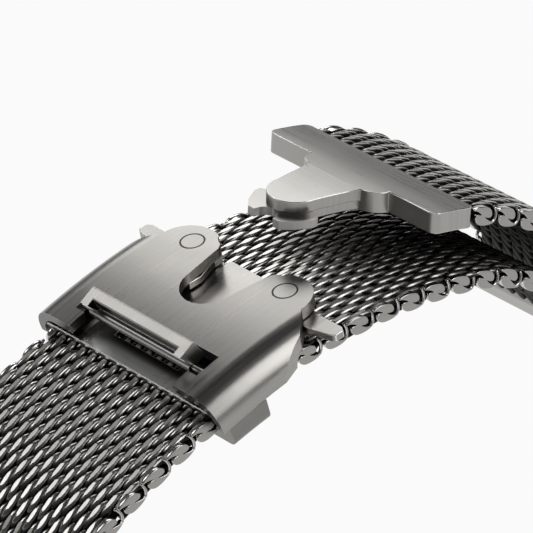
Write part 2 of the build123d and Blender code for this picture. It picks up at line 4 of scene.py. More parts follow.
import bmesh
import bpy
from bpy.props import FloatProperty, FloatVectorProperty, IntProperty, PointerProperty
from mathutils import Matrix, Vector
from mathutils.bvhtree import BVHTree

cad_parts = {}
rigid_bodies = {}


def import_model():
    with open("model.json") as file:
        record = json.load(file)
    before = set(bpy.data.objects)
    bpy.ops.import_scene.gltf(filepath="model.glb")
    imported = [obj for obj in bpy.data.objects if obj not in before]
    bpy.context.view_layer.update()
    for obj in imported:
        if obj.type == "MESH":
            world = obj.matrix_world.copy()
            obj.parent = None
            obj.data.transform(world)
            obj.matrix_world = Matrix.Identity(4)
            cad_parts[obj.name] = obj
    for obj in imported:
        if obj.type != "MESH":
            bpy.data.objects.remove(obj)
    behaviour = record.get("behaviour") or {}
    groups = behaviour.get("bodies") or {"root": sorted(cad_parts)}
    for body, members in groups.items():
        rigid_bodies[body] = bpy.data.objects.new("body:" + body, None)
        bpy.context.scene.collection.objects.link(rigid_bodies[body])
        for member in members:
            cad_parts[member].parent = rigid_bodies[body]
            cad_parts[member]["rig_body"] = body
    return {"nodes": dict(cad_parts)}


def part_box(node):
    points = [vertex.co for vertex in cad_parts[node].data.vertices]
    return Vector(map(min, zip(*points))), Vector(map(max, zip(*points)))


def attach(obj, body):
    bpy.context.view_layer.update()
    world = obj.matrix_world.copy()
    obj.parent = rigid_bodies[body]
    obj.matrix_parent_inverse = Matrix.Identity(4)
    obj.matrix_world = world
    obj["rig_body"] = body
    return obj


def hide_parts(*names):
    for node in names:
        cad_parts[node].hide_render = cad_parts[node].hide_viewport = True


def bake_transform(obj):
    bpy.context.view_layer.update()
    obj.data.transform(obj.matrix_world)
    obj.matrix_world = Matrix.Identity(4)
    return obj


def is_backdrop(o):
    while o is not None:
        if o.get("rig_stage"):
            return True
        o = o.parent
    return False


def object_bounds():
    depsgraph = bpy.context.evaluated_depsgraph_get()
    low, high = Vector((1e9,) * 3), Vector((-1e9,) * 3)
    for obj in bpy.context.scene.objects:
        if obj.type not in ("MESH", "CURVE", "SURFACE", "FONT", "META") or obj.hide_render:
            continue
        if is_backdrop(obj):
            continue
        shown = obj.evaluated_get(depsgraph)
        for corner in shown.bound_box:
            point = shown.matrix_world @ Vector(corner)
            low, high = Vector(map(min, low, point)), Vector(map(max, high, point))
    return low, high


bl_info = {
    "name": "Milanese mesh band",
    "version": (1, 0, 0),
    "blender": (4, 5, 0),
    "location": "3D View > Sidebar > Mesh band",
    "description": "Dresses a woven steel watch band with its sliding clasp and tongue piece",
    "category": "Object",
}

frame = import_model()

# Lengths below are in millimetres, and MM turns them into Blender's metres.
MM = 0.001

# Rows of the mesh in the side view: their pitch, the joints (x and z) from which the stretches are
# walked, how far the tail's joint lies from the top of its arc, and each stretch's radius and
# number of rows.
ROW_PITCH = 3.03
TAIL_JOINT = (5.674, 46.541)
TAIL_REACH = 7.03
TOP_RADIUS = 61.5
TAIL_RADIUS = 24.0
BEND_RADIUS = 22.0
LOWER_RADIUS = 31.0
SHORT_RADIUS = 35.5
SHORT_JOINT = (5.275, 53.302)
SHORT_BEND_JOINT = (21.204, 44.945)
TAIL_ROWS = 7
TOP_ROWS = 14
SIDE_ROWS = 14
LOWER_ROWS = 11
SHORT_TOP_ROWS = 6
SHORT_SIDE_ROWS = 5

# The way in which a stretch's rows are walked.
TO_FREE_END = -1
FROM_TONGUE = 0
TO_WATCH = 1

# The mesh across the band: its half width, where the first coil's strands lie, how far each
# further coil shifts them, how many turns a coil has before its ends are cut off, and the fewest
# faces that a woven stretch has.
MESH_HALF_WIDTH = 11.0
STRAND_START = 0.115
STRAND_SHIFT = -0.808
COIL_TURNS = 18
FEWEST_FACES = 1000

# Half of the S shaped edge link from the tip of its upper tail, about its middle, and the wire
# that hooks up behind the next link.
EDGE_HALF = (
    (-1.45, 0.60), (-1.05, 0.80), (-0.55, 0.88), (0.0, 0.88), (0.48, 0.78), (0.84, 0.52),
    (1.01, 0.2), (0.98, -0.06), (0.80, -0.16), (0.50, -0.15), (0.22, -0.10), (0.40, -0.24),
    (0.72, -0.40), (1.02, -0.50),
)
EDGE_LINK_SHIFT = -0.5
EDGE_DEPTH = 0.55
EDGE_RIM = 0.05
OUTLINE_STEPS = 2
HOOK_PATH = (
    (1.15, 0.16, -0.66), (1.42, 0.18, -0.58), (1.62, 0.22, -0.36), (1.72, 0.26, -0.05),
    (1.72, 0.32, 0.28), (1.66, 0.42, 0.55), (1.52, 0.55, 0.72),
)
HOOK_RADII = (0.16, 0.17, 0.17, 0.17, 0.16, 0.16, 0.14)
HOOK_SIDES = 8

# Easing of the solids' edges: what counts as one point, as flat and as a sharp edge, the width of
# the easing, and how far a point may stand off the solid.
SAME_POINT = 0.002
FLAT_ANGLE = radians(0.4)
SHARP_ANGLE = radians(32)
EDGE_EASING = 0.08
STRAY = 0.02

# Corners rounded before that: their radius, the least angle of such an edge, the steps of the
# round, the least length and steepness of an edge that stands up, and where the outer flank of the
# clasp's base begins.
CORNER_RADIUS = 0.4
CORNER_ANGLE = radians(25)
CORNER_STEPS = 4
UPRIGHT_LENGTH = 0.8
UPRIGHT_SHARE = 0.75
BASE_FLANK = 12.2

# The wound springs' wire and the pitch of their turns.
SPRING_WIRE = 0.08
SPRING_PITCH = 0.35

# The clasp's own frame: its place, its tilt and the radius of its arc, whose middle lies under it.
CLASP_PLACE = (-11.54, 0.0, 49.84)
CLASP_TILT = radians(11.0)
COVER_RADIUS = 65.0

# Bands in that frame over which a painted shadow or painted light begins or ends. The recess
# behind the lever has its front, sides, depth and floor, and the back of that floor, which gets
# painted light.
RECESS_FRONT = (-8.7, -8.5)
RECESS_SIDE = (6.9, 7.1)
RECESS_DEPTH = (0.35, 1.3)
RECESS_FLOOR = (-13.6, -11.4)
PAINTED_LIGHT_FLOOR = (-13.2, -11.2)
PAINTED_LIGHT_SIDE = (6.9, 7.3)
# The base's loop, and how far the cover's back end turns backward.
LOOP_FRONT = (-7.5, -5.5)
LOOP_SIDE = (8.0, 9.0)
BACK_END_FACING = (-0.95, -0.6)
# The lever's pin and turn, and the hollow between its legs as seen from the pin.
LEVER_PIN = (-11.4, -1.35)
LEVER_TURN = radians(24.8)
HOLLOW_FRONT = (0.4, 0.48)
HOLLOW_SIDE = (5.9, 5.98)
HOLLOW_FLOOR = (0.45, 0.6)
HOLLOW_TOP = (1.7, 1.9)
# Painted shade standing for a groove round a pivot pin's head.
PIN_HALF_SPACING = 6.3
PIN_GROOVE_SHADE = (0.99, 1.04)

# How dark each of these painted shades is, from 0 to 1, and the shade colour that they tend to.
RECESS_DARKNESS = 0.95
BACK_END_DARKNESS = 0.65
HOLLOW_DARKNESS = 0.93
GROOVE_SHADE_DARKNESS = 0.97
LOOP_DARKNESS = 0.4
SHADE_COLOUR = (0.012, 0.012, 0.011)

# Finishes. LINES: about how many brushed lines go to the metre, each LINE_STRETCH times longer
# than wide. GRAIN: fineness and detail of an even noise. BAND: values of the noise between which
# the dark colour turns into the light one. DARK, SHARE: shares of a colour. UNEVEN: how much the
# noise varies the roughness. ROUGHER: what is added to it. RELIEF: strength and depth of the bump.
LINE_STRETCH = 90

SATIN_LINES = 3200.0
SATIN_BAND = (0.25, 0.75)
SATIN_DARK = 0.88
SATIN_ROUGHNESS = 0.3
SATIN_UNEVEN = 0.16
SATIN_RELIEF = (0.06, 0.01)
POLISHED_ROUGHNESS = 0.22
CLOUD_GRAIN = (260.0, 2.0)
CLOUD_UNEVEN = 0.05
# Painted light: how far a colour is lifted towards its lighter copy, and the most it may reach.
PAINTED_LIGHT_SHARE = 3.0
PAINTED_LIGHT_LIMIT = 0.95

TURNED_LINES = 7000.0
TURNED_BAND = (0.2, 0.8)
TURNED_DARK = 0.92
TURNED_ROUGHNESS = 0.26
TURNED_UNEVEN = 0.12
TURNED_RELIEF = (0.12, 0.01)

# Painted highlight on the eased edges: its lighter colours, grain and roughness.
PAINTED_HIGHLIGHT = "painted edge highlights"
PAINTED_HIGHLIGHT_GRAIN = (1500.0, 2.0)
PAINTED_HIGHLIGHT_BAND = (0.3, 0.7)
PAINTED_HIGHLIGHT_COLOURS = ((0.56, 0.55, 0.53), (0.7, 0.69, 0.67))
PAINTED_HIGHLIGHT_ROUGHNESS = 0.2
PAINTED_HIGHLIGHT_UNEVEN = 0.1

# Wires, with the band of height over which they are ground, where painted shade begins deep in
# the weave of each strap and where the wire keeps its own colour at the top, and how painted shade
# darkens the mesh's inner side.
WIRE_LINES = 6500.0
WIRE_ROUGHNESS = 0.24
WIRE_UNEVEN = 0.14
WIRE_RELIEF = (0.25, 0.008)
GROUND_BAND = 0.012
GROUND_ROUGHER = 0.08
DARK_HEIGHT = {"long": 0.57, "short": 0.74}
BRIGHT_HEIGHT = 0.85
INNER_BAND = 0.3
INNER_DARKNESS = 0.9
INNER_ROUGHER = 0.4

# Edge links, with how far across the band a face looks where it counts as flat.
EDGE_LINES = 5600.0
EDGE_GRAIN = (9000.0, 3.0)
EDGE_BAND = (0.3, 0.7)
EDGE_FACING = (0.75, 0.95)
EDGE_WIRE_SHARE = 1.1
EDGE_FLAT_SHARES = (0.5, 0.62)
EDGE_ROUGHNESS = 0.2
EDGE_FLAT_ROUGHER = 0.18
EDGE_UNEVEN = 0.16
EDGE_RELIEF = (0.3, 0.008)

# The photograph's camera: its right, up and view directions, its distance and focal length, and
# where the clasp's place lies in the picture.
CAMERA_RIGHT = (0.76190, -0.64769, 0.0)
CAMERA_UP = (0.29640, 0.34866, 0.88915)
CAMERA_AHEAD = (0.57589, 0.67745, -0.45762)
CAMERA_DISTANCE = 425.1
CAMERA_FOCAL = 4822.2
CLASP_PIXEL = (238.2, 265.6)
IMAGE_SIZE = 533
SENSOR = 36.0

# The stage, in metres: the floor's half size, the softboxes with their setting, direction from
# the clasp and size, and the pale band of the room at the horizon.
FLOOR_REACH = 6.0
FLOOR_GAP = 0.02 * MM
SOFTBOX_DISTANCE = 1.0
SOFTBOXES = {
    "right softbox": ("key", (0.46, 0.68, 0.56), (0.53, 0.42)),
    "left softbox": ("fill", (-0.37, 0.66, 0.67), (0.34, 0.40)),
    "front softbox": ("rim", (0.37, -0.66, 0.65), (0.6, 0.8)),
}
HORIZON_BAND = (0.02, 0.2)
HORIZON_BRIGHTNESS = 0.9


class MeshSizes(bpy.types.PropertyGroup):
    """Sizes of the woven wire."""

    wire_radius: FloatProperty(
        name="Wire radius", description="Radius of the drawn wire",
        default=0.4 * MM, unit="LENGTH")
    strand_pitch: FloatProperty(
        name="Strand pitch", description="From strand to strand across the band",
        default=1.455 * MM, unit="LENGTH")
    half_length: FloatProperty(
        name="Coil half length", description="Half of a strand's run along the band",
        default=1.5 * MM, unit="LENGTH")
    half_height: FloatProperty(
        name="Coil half height", description="Height of a strand's middle over the mesh's middle",
        default=0.54 * MM, unit="LENGTH")
    ground_height: FloatProperty(
        name="Ground height", description="Half of the mesh's thickness after grinding",
        default=0.86 * MM, unit="LENGTH")
    strand_slope: FloatProperty(
        name="Strand slope", description="Drift of a strand across the band", default=0.03)
    hold: FloatProperty(
        name="Strand hold", description="How straight a strand runs before it turns over",
        default=1.25)
    half_width: FloatProperty(
        name="Woven half width", description="Where the coils end, inside the edge links",
        default=10.45 * MM, unit="LENGTH")
    samples: IntProperty(
        name="Samples", description="Points along one turn of a coil", default=20, min=8)
    sides: IntProperty(name="Sides", description="Sides of the wire", default=10, min=6)


class FinishLooks(bpy.types.PropertyGroup):
    """Colours of the metal."""

    wire: FloatVectorProperty(
        name="Wire", description="Colour of the ground wire", subtype="COLOR",
        default=(0.57, 0.557, 0.53), min=0, max=1)
    # Painted shade: the near black colour of the wire deep in the weave and on the inner side.
    painted_crevice_shade: FloatVectorProperty(
        name="Crevice", description="Colour of the wire deep in the weave", subtype="COLOR",
        default=(0.012, 0.012, 0.0115), min=0, max=1)
    clasp: FloatVectorProperty(
        name="Clasp", description="Colour of the brushed clasp", subtype="COLOR",
        default=(0.335, 0.326, 0.308), min=0, max=1)
    tongue: FloatVectorProperty(
        name="Tongue", description="Colour of the brushed tongue piece", subtype="COLOR",
        default=(0.355, 0.346, 0.328), min=0, max=1)
    barrel: FloatVectorProperty(
        name="Barrels", description="Colour of the polished end barrels", subtype="COLOR",
        default=(0.74, 0.73, 0.71), min=0, max=1)
    pin: FloatVectorProperty(
        name="Pins", description="Colour of pins and rivets", subtype="COLOR",
        default=(0.35, 0.34, 0.325), min=0, max=1)
    spring: FloatVectorProperty(
        name="Springs", description="Colour of the springs", subtype="COLOR",
        default=(0.5, 0.5, 0.49), min=0, max=1)


class StageLooks(bpy.types.PropertyGroup):
    """Floor and light."""

    floor: FloatVectorProperty(
        name="Floor", description="Colour of the floor", subtype="COLOR",
        default=(0.97, 0.97, 0.97), min=0, max=1)
    glow: FloatProperty(
        name="Floor share", description="How much of the floor keeps its own pale colour",
        default=0.97)
    shade: FloatProperty(
        name="Room shade", description="Brightness of the room above the horizon", default=0.08)
    key: FloatProperty(name="Key", description="Brightness of the right softbox", default=2.8)
    fill: FloatProperty(name="Fill", description="Brightness of the left softbox", default=3.0)
    rim: FloatProperty(name="Rim", description="Brightness of the softbox in front", default=3.3)


class Shade:
    """A socket in a node tree that takes part in Python expressions."""

    def __init__(self, tree, socket=None):
        self.tree = tree
        self.socket = socket

    def node(self, kind, settings=None, values=None, output=0):
        """Adds a node: its settings first, then the values or links of its sockets."""
        made = self.tree.nodes.new(kind)
        for name, value in (settings or {}).items():
            setattr(made, name, value)
        for name, value in (values or {}).items():
            if isinstance(value, Shade):
                self.tree.links.new(value.socket, made.inputs[name])
            else:
                made.inputs[name].default_value = value
        return Shade(self.tree, made.outputs[output] if made.outputs else None)

    def math(self, operation, *others):
        """A Math node on this value and the others."""
        values = dict(enumerate((self, *others)))
        return self.node("ShaderNodeMath", {"operation": operation}, values)

    def vector(self, operation, *others, output=0):
        """A Vector Math node on this vector and the others."""
        values = dict(enumerate((self, *others)))
        return self.node("ShaderNodeVectorMath", {"operation": operation}, values, output)

    def scaled(self, factor):
        """This vector times a factor."""
        return self.node("ShaderNodeVectorMath", {"operation": "SCALE"}, {0: self, "Scale": factor})

    def part(self, axis):
        """The part of this vector along an axis, from 0 to 2."""
        return self.node("ShaderNodeSeparateXYZ", values={0: self}, output=axis)

    def ramp(self, low, high):
        """A smooth step from 0 at low to 1 at high."""
        values = {"Value": self, "From Min": low, "From Max": high}
        return self.node("ShaderNodeMapRange", {"interpolation_type": "SMOOTHSTEP"}, values)

    def colours(self, first, last):
        """A mix of two colours by this factor."""
        return self.node("ShaderNodeMix", {"data_type": "RGBA"}, {0: self, 6: first, 7: last}, 2)

    def directions(self, first, last):
        """A mix of two directions by this factor."""
        return self.node("ShaderNodeMix", {"data_type": "VECTOR"}, {0: self, 4: first, 5: last}, 1)

    def __add__(self, other):
        return self.math("ADD", other)

    __radd__ = __add__

    def __sub__(self, other):
        return self.math("SUBTRACT", other)

    def __rsub__(self, other):
        return self.node("ShaderNodeMath", {"operation": "SUBTRACT"}, {0: other, 1: self})

    def __mul__(self, other):
        return self.math("MULTIPLY", other)

    __rmul__ = __mul__

    def __truediv__(self, other):
        return self.math("DIVIDE", other)

    def __abs__(self):
        return self.math("ABSOLUTE")


def colour(value, share=1.0):
    """A share of a colour, with its alpha."""
    return (*(channel * share for channel in value), 1.0)


def new_material(name):
    """An empty material and its tree as the start of an expression."""
    material = bpy.data.materials.new(name)
    material.use_nodes = True
    material.node_tree.nodes.clear()
    return material, Shade(material.node_tree)


def surface(start, values):
    """Ends a material in one metal shader."""
    metal = start.node("ShaderNodeBsdfPrincipled", values={"Metallic": 1.0, **values})
    start.node("ShaderNodeOutputMaterial", values={"Surface": metal})


def object_place(start):
    """Place on the object."""
    return start.node("ShaderNodeTexCoord", output="Object")


def own_normal(start):
    """Direction in which the surface faces."""
    return start.node("ShaderNodeNewGeometry", output="Normal")


def brushed(start, slow, fineness, place=None):
    """Noise drawn out along the slow axes, as brushing leaves it."""
    scale = [fineness / LINE_STRETCH if axis in slow else fineness for axis in "XYZ"]
    stretched = start.node("ShaderNodeMapping", values={
        "Vector": place or object_place(start), "Scale": scale})
    return start.node("ShaderNodeTexNoise", values={
        "Vector": stretched, "Scale": 1.0, "Detail": 1.5, "Roughness": 0.6})


def grained(start, fineness, detail):
    """Even noise, as blasting and wear leave it."""
    return start.node("ShaderNodeTexNoise", values={
        "Vector": object_place(start), "Scale": fineness, "Detail": detail})


def uneven(value, noise, amount):
    """A value that noise takes up and down, by this amount in all."""
    return value + (noise - 0.5) * amount


def relief(height, strength, depth, **normal):
    """A bump of this height, over the surface's own normal or another."""
    return height.node("ShaderNodeBump", values={
        "Strength": strength, "Distance": depth * MM, "Height": height, **normal})


def clasp_point(start):
    """Place along, across and over the clasp in its own frame, in millimetres."""
    place = object_place(start).vector("SUBTRACT", tuple(part * MM for part in CLASP_PLACE))
    place = start.node("ShaderNodeVectorRotate", {"rotation_type": "Y_AXIS"}, {
        "Vector": place, "Angle": CLASP_TILT})
    return tuple(place.part(axis) / MM for axis in range(3))


def cover_depth(along, up):
    """Depth under the arc of the clasp's top."""
    high = up + COVER_RADIUS
    return COVER_RADIUS - (along * along + high * high).math("SQRT")


def clasp_surface(start):
    """Place on the clasp's curved top, so that brushing follows its arc."""
    along, across, up = clasp_point(start)
    depth = cover_depth(along, up)
    return start.node("ShaderNodeCombineXYZ", values={
        0: along * MM, 1: across * MM, 2: depth * MM})


def recess_shadow(start):
    """Painted shade on points that lie deep in the recess under the lever."""
    along, across, up = clasp_point(start)
    behind = (1 - along.ramp(*RECESS_FRONT)) * along.ramp(*RECESS_FLOOR)
    beside = 1 - abs(across).ramp(*RECESS_SIDE)
    deep = cover_depth(along, up).ramp(*RECESS_DEPTH)
    return behind * beside * deep * RECESS_DARKNESS


def cover_shadow(start):
    """Painted shade in the recess, and on the cover's back end, which turns away from the light."""
    backward = 1 - own_normal(start).part(0).ramp(*BACK_END_FACING)
    return recess_shadow(start).math("MAXIMUM", backward * BACK_END_DARKNESS)


def base_shadow(start):
    """Painted shade on the base's loop, and deep in its window."""
    along, across, _ = clasp_point(start)
    loop = (1 - along.ramp(*LOOP_FRONT)) * abs(across).ramp(*LOOP_SIDE) * LOOP_DARKNESS
    return loop.math("MAXIMUM", recess_shadow(start))


def painted_light_on_recess_floor(start):
    """Painted light on the back of the recess's floor, which is drawn lighter than the rest of it.
    """
    along, across, _ = clasp_point(start)
    return (1 - along.ramp(*PAINTED_LIGHT_FLOOR)) * (1 - abs(across).ramp(*PAINTED_LIGHT_SIDE))


def lever_shadow(start):
    """Painted shade in the hollow between the lever's legs."""
    along, across, up = clasp_point(start)
    along = along - LEVER_PIN[0]
    up = up - LEVER_PIN[1]
    near = along * cos(LEVER_TURN) + up * sin(LEVER_TURN)
    high = up * cos(LEVER_TURN) - along * sin(LEVER_TURN)
    inside = (1 - near.ramp(*HOLLOW_FRONT)) * (1 - abs(across).ramp(*HOLLOW_SIDE))
    inside = inside * high.ramp(*HOLLOW_FLOOR) * (1 - high.ramp(*HOLLOW_TOP))
    return inside * HOLLOW_DARKNESS


def painted_groove_shade(start):
    """Painted shade round the rim of a pivot pin's head, standing for a fine groove."""
    along, across, _ = clasp_point(start)
    beside = abs(across) - PIN_HALF_SPACING
    far = (along * along + beside * beside).math("SQRT")
    return far.ramp(*PIN_GROOVE_SHADE) * GROOVE_SHADE_DARKNESS


def satin_material(name, base, roughness=SATIN_ROUGHNESS, shadow=None, pale=None, on_clasp=False):
    """Metal brushed across the band, or along its arc on the clasp, with painted shade and painted
    light in chosen places.
    """
    material, start = new_material(name)
    if on_clasp:
        lines = brushed(start, "X", SATIN_LINES, clasp_surface(start))
    else:
        lines = brushed(start, "YZ", SATIN_LINES)
    cloud = grained(start, *CLOUD_GRAIN)
    tone = lines.ramp(*SATIN_BAND).colours(colour(base, SATIN_DARK), colour(base))
    # Painted light: the pale mask lifts the colour towards a lighter copy of it.
    if pale:
        light = [min(channel * PAINTED_LIGHT_SHARE, PAINTED_LIGHT_LIMIT) for channel in base]
        tone = pale(start).colours(tone, colour(light))
    # Painted shade: the shadow mask takes the colour towards the shade colour.
    if shadow:
        tone = shadow(start).colours(tone, colour(SHADE_COLOUR))
    rough = uneven(uneven(roughness, lines, SATIN_UNEVEN), cloud, CLOUD_UNEVEN)
    bump = relief(lines, *SATIN_RELIEF)
    surface(start, {"Base Color": tone, "Roughness": rough, "Normal": bump})
    return material


def clasp_material(name, looks, shadow=None, pale=None):
    """Brushed metal of one of the clasp's pieces, with its painted shade and painted light."""
    return satin_material(name, looks.clasp, shadow=shadow, pale=pale, on_clasp=True)


def painted_highlight_material():
    """Painted highlight on the eased edges, brighter than the faces beside them."""
    material, start = new_material(PAINTED_HIGHLIGHT)
    grain = grained(start, *PAINTED_HIGHLIGHT_GRAIN)
    dark, light = PAINTED_HIGHLIGHT_COLOURS
    tone = grain.ramp(*PAINTED_HIGHLIGHT_BAND).colours(colour(dark), colour(light))
    surface(start, {"Base Color": tone, "Roughness": PAINTED_HIGHLIGHT_ROUGHNESS + grain * PAINTED_HIGHLIGHT_UNEVEN})
    return material


def turned_material(name, base):
    """Fine turned metal of pins, bars and springs."""
    material, start = new_material(name)
    lines = brushed(start, "Y", TURNED_LINES)
    tone = lines.ramp(*TURNED_BAND).colours(colour(base, TURNED_DARK), colour(base))
    rough = uneven(TURNED_ROUGHNESS, lines, TURNED_UNEVEN)
    bump = relief(lines, *TURNED_RELIEF)
    surface(start, {"Base Color": tone, "Roughness": rough, "Normal": bump})
    return material


def wire_material(name, looks, sizes, dark_height):
    """Round wire ground flat on the mesh's faces, with painted shade deep in the weave and inside.
    """
    material, start = new_material(name)
    lift = start.node("ShaderNodeAttribute", {"attribute_name": "lift"}, output="Fac")
    outward = start.node("ShaderNodeAttribute", {"attribute_name": "outward"}, output="Vector")
    height = abs(lift)
    band = GROUND_BAND * MM
    ground = height.ramp(sizes.ground_height - band, sizes.ground_height + band)
    flat = outward.scaled(lift.math("SIGN"))
    lines = brushed(start, "X", WIRE_LINES)
    # Painted shade: the wire turns to the crevice colour deep in the weave and on the inner side.
    depth = height.ramp(dark_height * MM, BRIGHT_HEIGHT * MM)
    inner = 1 - lift.ramp(-INNER_BAND * MM, 0.0)
    tone = depth.colours(colour(looks.painted_crevice_shade), colour(looks.wire))
    tone = (inner * INNER_DARKNESS).colours(tone, colour(looks.painted_crevice_shade))
    rough = WIRE_ROUGHNESS + ground * GROUND_ROUGHER + inner * INNER_ROUGHER
    rough = uneven(rough, lines, WIRE_UNEVEN)
    bump = relief(lines, *WIRE_RELIEF, Normal=ground.directions(own_normal(start), flat))
    surface(start, {"Base Color": tone, "Roughness": rough, "Normal": bump})
    return material


def edge_material(looks):
    """Edge links of the mesh: matt on their ground faces, brighter on the round wire."""
    material, start = new_material("ground mesh edge")
    lines = brushed(start, "X", EDGE_LINES)
    grain = grained(start, *EDGE_GRAIN)
    dark, light = (colour(looks.wire, share) for share in EDGE_FLAT_SHARES)
    flat = abs(own_normal(start).part(1)).ramp(*EDGE_FACING)
    tone = grain.ramp(*EDGE_BAND).colours(dark, light)
    tone = flat.colours(colour(looks.wire, EDGE_WIRE_SHARE), tone)
    rough = uneven(EDGE_ROUGHNESS + flat * EDGE_FLAT_ROUGHER, lines, EDGE_UNEVEN)
    bump = relief(grain, *EDGE_RELIEF)
    surface(start, {"Base Color": tone, "Roughness": rough, "Normal": bump})
    return material


def floor_material(looks):
    """Pale floor that keeps the object's shadow."""
    material, start = new_material("pale floor")
    camera, glossy, through = (
        start.node("ShaderNodeLightPath", output=ray)
        for ray in ("Is Camera Ray", "Is Glossy Ray", "Is Transmission Ray"))
    seen = camera.math("MAXIMUM", glossy).math("MAXIMUM", through)
    matt = start.node("ShaderNodeBsdfDiffuse", values={"Color": colour(looks.floor)})
    pale = start.node("ShaderNodeEmission", values={
        "Color": colour(looks.floor), "Strength": 1.0})
    mixed = start.node("ShaderNodeMixShader", values={0: seen * looks.glow, 1: matt, 2: pale})
    start.node("ShaderNodeOutputMaterial", values={"Surface": mixed})
    return material


def row_turn(radius):
    """Turn from one row to the next on a bend of this radius."""
    return 2 * asin(ROW_PITCH / 2 / radius)


def walk(start, heading, turn, count):
    """Row joints from a start, each step one pitch long after its turn."""
    joints = [start]
    for _ in range(count):
        heading += turn
        x, z = joints[-1]
        joints.append((x + ROW_PITCH * cos(heading), z + ROW_PITCH * sin(heading)))
    return joints, heading


def strap_walks():
    """Each stretch of rows: its joints, the number of its first coil and how it is walked."""
    lean = TAIL_REACH / TOP_RADIUS
    tail_turn = row_turn(TAIL_RADIUS)
    tail, _ = walk(TAIL_JOINT, -lean + tail_turn / 2, -tail_turn, TAIL_ROWS)
    top_turn = row_turn(TOP_RADIUS)
    top, heading = walk(TAIL_JOINT, pi - lean - top_turn / 2, top_turn, TOP_ROWS)
    side, heading = walk(top[-1], heading, row_turn(BEND_RADIUS), SIDE_ROWS)
    lower, _ = walk(side[-1], heading, row_turn(LOWER_RADIUS), LOWER_ROWS)
    short_turn = row_turn(SHORT_RADIUS)
    chord = atan2(SHORT_BEND_JOINT[1] - SHORT_JOINT[1], SHORT_BEND_JOINT[0] - SHORT_JOINT[0])
    first = chord + short_turn * (SHORT_TOP_ROWS + 1) / 2
    short_top, heading = walk(SHORT_JOINT, first, -short_turn, SHORT_TOP_ROWS)
    short_side, _ = walk(short_top[-1], heading, -short_turn, SHORT_SIDE_ROWS)
    return {
        "long_rows_tail": (tail, 0, TO_FREE_END),
        "long_rows_top": (top, 0, TO_WATCH),
        "long_rows_side": (side, 2 * TOP_ROWS, TO_WATCH),
        "long_rows_lower": (lower, 2 * (TOP_ROWS + SIDE_ROWS), TO_WATCH),
        "short_rows_top": (short_top, 0, FROM_TONGUE),
        "short_rows_side": (short_side, 2 * SHORT_TOP_ROWS, FROM_TONGUE),
    }


def plain_mesh(name, corners, faces=()):
    """A mesh from its corners and faces."""
    mesh = bpy.data.meshes.new(name)
    mesh.from_pydata(corners, [], list(faces))
    return mesh


def strap_points(name, joints, first, direction, pitch):
    """Points for a stretch's coils and edge links, with their turn and outward direction."""
    points = []
    for row, (near, far) in enumerate(zip(joints, joints[1:])):
        step = atan2(far[1] - near[1], far[0] - near[0])
        heading = step - pi if direction == TO_WATCH else step
        outward = (-sin(heading), 0.0, cos(heading))
        for half in range(2):
            if direction == TO_FREE_END:
                number, way = -(2 * row + half), half / 2
            else:
                number, way = first + 2 * row + half + 1, (half + 1) / 2
            across = STRAND_START + STRAND_SHIFT * number
            across = (across + pitch / 2) % pitch - pitch / 2
            x, z = (near[axis] + (far[axis] - near[axis]) * way for axis in range(2))
            points.append(((x * MM, across * MM, z * MM), -heading, 0.0, 0.0, outward))
        x, z = near if direction == TO_FREE_END else far
        for side in (-1, 1):
            place = (x * MM, side * MESH_HALF_WIDTH * MM, z * MM)
            flip = pi if side > 0 else 0.0
            points.append((place, side * heading, flip, float(side), outward))
    places, turns, flips, sides, outwards = zip(*points)
    mesh = plain_mesh(name, places)
    for label, values in (("turn", turns), ("flip", flips), ("side", sides)):
        mesh.attributes.new(label, "FLOAT", "POINT").data.foreach_set("value", values)
    parts = [part for outward in outwards for part in outward]
    mesh.attributes.new("outward", "FLOAT_VECTOR", "POINT").data.foreach_set("vector", parts)
    return mesh


def smooth_outline(corners, steps):
    """A closed curve through the corners, in this many steps from one to the next."""
    count = len(corners)
    points = []
    for i in range(count):
        before, first, last, after = (corners[(i + k) % count] for k in (-1, 0, 1, 2))
        for step in range(steps):
            t = step / steps
            points.append(0.5 * (2 * first + (last - before) * t
                                 + (2 * before - 5 * first + 4 * last - after) * t ** 2
                                 + (3 * first - before - 3 * last + after) * t ** 3))
    return points


def add_tube(work, path, radii, sides):
    """A round wire along a path, closed at both ends."""
    rings = []
    for i, (point, radius) in enumerate(zip(path, radii)):
        ahead = (path[min(i + 1, len(path) - 1)] - path[max(i - 1, 0)]).normalized()
        across = ahead.cross(Vector((0, 1, 0))).normalized()
        up = across.cross(ahead)
        angles = [2 * pi * k / sides for k in range(sides)]
        rings.append([work.verts.new(point + (across * cos(angle) + up * sin(angle)) * radius)
                      for angle in angles])
    for first, last in zip(rings, rings[1:]):
        for k in range(sides):
            following = (k + 1) % sides
            work.faces.new((first[k], first[following], last[following], last[k]))
    work.faces.new(rings[0][::-1])
    work.faces.new(rings[-1])


